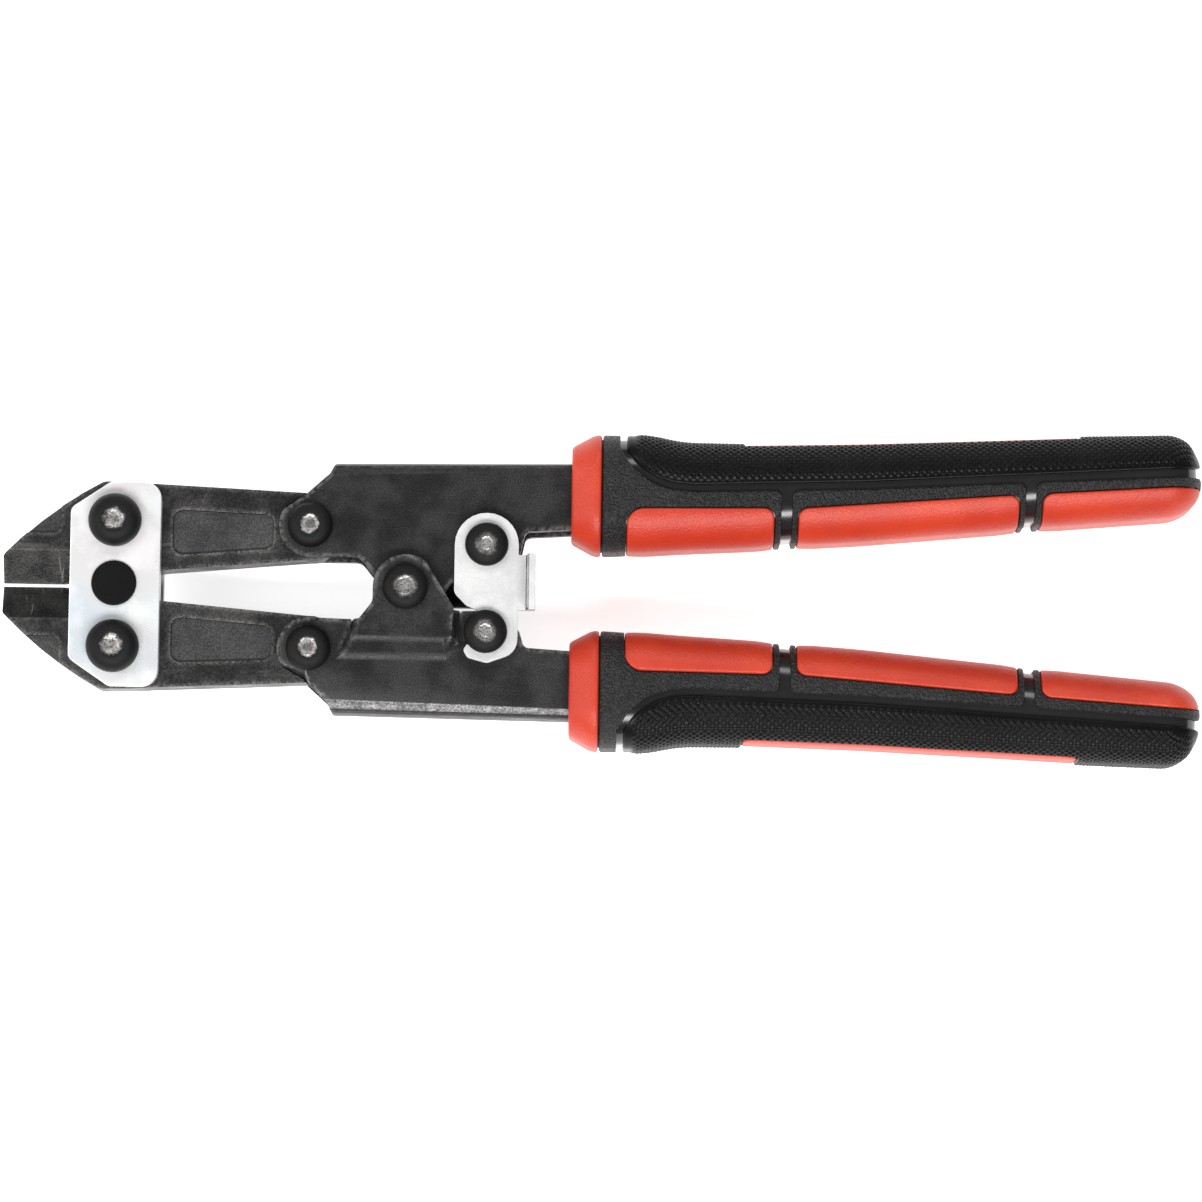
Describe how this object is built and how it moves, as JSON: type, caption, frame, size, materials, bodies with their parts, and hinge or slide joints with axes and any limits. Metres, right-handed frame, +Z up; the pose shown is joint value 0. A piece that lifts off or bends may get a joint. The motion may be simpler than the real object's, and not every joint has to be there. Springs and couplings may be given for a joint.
{
  "type": "bolt cutters",
  "caption": "Compact hand bolt cutters: hinged cutting jaws driven by pressed steel handle frames, with a thumb latch and soft two-colour grips.",
  "frame": {"origin": "centre of the overall box, on the surface the tool lies on", "axes": "+X from the jaws to the grips, +Y across the handles, +Z up, with the latch side facing up"},
  "size_m": [0.21, 0.0576, 0.0215],
  "materials": {
    "black_oxide_steel": "black oxide, worn bright along the edges",
    "zinc_plate": "pale zinc plate with a faint blue tint",
    "pin_steel": "dark riveted heads with bare centres",
    "frame_steel": "fine grained grey oxide",
    "latch_zinc": "bright satin zinc",
    "spring_steel": "drawn wire",
    "red_rubber": "orange-red soft rubber, fine matte grain",
    "black_rubber": "black soft rubber, leather grain and raised dots",
    "black_gloss": "smooth black plastic"
  },
  "bodies": {
    "lower_handle": {"handle_frame_lower": "frame_steel", "link_pin_lower": "pin_steel", "centre_pin": "pin_steel", "centre_spacer": "spring_steel", "spring_coil": "spring_steel", "catch_pin": "pin_steel", "grip_lower_collar": "red_rubber", "grip_lower_core": "black_gloss", "grip_lower_palm_shell": "black_rubber", "grip_lower_palm_inlay": "red_rubber", "grip_lower_finger_frame_1": "black_rubber", "grip_lower_finger_frame_2": "black_rubber", "grip_lower_finger_frame_3": "black_rubber", "grip_lower_finger_pad_1": "red_rubber", "grip_lower_finger_pad_2": "red_rubber", "grip_lower_finger_pad_3": "red_rubber"},
    "upper_handle": {"handle_frame_upper": "frame_steel", "link_pin_upper": "pin_steel", "latch_pin": "pin_steel", "spring_arm": "spring_steel", "grip_upper_collar": "red_rubber", "grip_upper_core": "black_gloss", "grip_upper_palm_shell": "black_rubber", "grip_upper_palm_inlay": "red_rubber", "grip_upper_finger_frame_1": "black_rubber", "grip_upper_finger_frame_2": "black_rubber", "grip_upper_finger_frame_3": "black_rubber", "grip_upper_finger_pad_1": "red_rubber", "grip_upper_finger_pad_2": "red_rubber", "grip_upper_finger_pad_3": "red_rubber"},
    "latch": {"latch": "latch_zinc"},
    "jaw_lower": {"jaw_lower": "black_oxide_steel"},
    "jaw_upper": {"jaw_upper": "black_oxide_steel"},
    "head": {"side_plate_front": "zinc_plate", "side_plate_back": "zinc_plate", "plate_dot_front": "black_gloss", "plate_dot_back": "black_gloss", "jaw_pin_upper": "pin_steel", "jaw_pin_lower": "pin_steel"}
  },
  "joints": [
    {"name": "handles_open", "type": "hinge", "parent": "lower_handle", "child": "upper_handle", "pos_m": [-0.0342, 0, 0.0105], "axis": [0, 0, 1], "range_deg": [-2.4, 28]},
    {"name": "latch_turn", "type": "hinge", "parent": "upper_handle", "child": "latch", "pos_m": [-0.0201, 0.00765, 0.0105], "axis": [0, 0, 1], "range_deg": [-4.5, 40]},
    {"name": "jaw_lower_turn", "type": "hinge", "parent": "lower_handle", "child": "jaw_lower", "pos_m": [-0.0511, -0.0108, 0.0105], "axis": [0, 0, 1], "range_deg": [-2.5, 22]},
    {"name": "jaw_upper_turn", "type": "hinge", "parent": "upper_handle", "child": "jaw_upper", "pos_m": [-0.0511, 0.0108, 0.0105], "axis": [0, 0, 1], "range_deg": [-22, 2.5]},
    {"name": "head_turn", "type": "hinge", "parent": "jaw_lower", "child": "head", "pos_m": [-0.0852, -0.01105, 0.0105], "axis": [0, 0, 1], "range_deg": [-8, 1]}
  ],
  "couplings": [
    {"joint": "latch_turn", "follows": "handles_open", "ratio": 1.4},
    {"joint": "jaw_lower_turn", "follows": "handles_open", "ratio": 0.7635},
    {"joint": "jaw_upper_turn", "follows": "handles_open", "ratio": -0.7635},
    {"joint": "head_turn", "follows": "handles_open", "ratio": -0.2635}
  ]
}
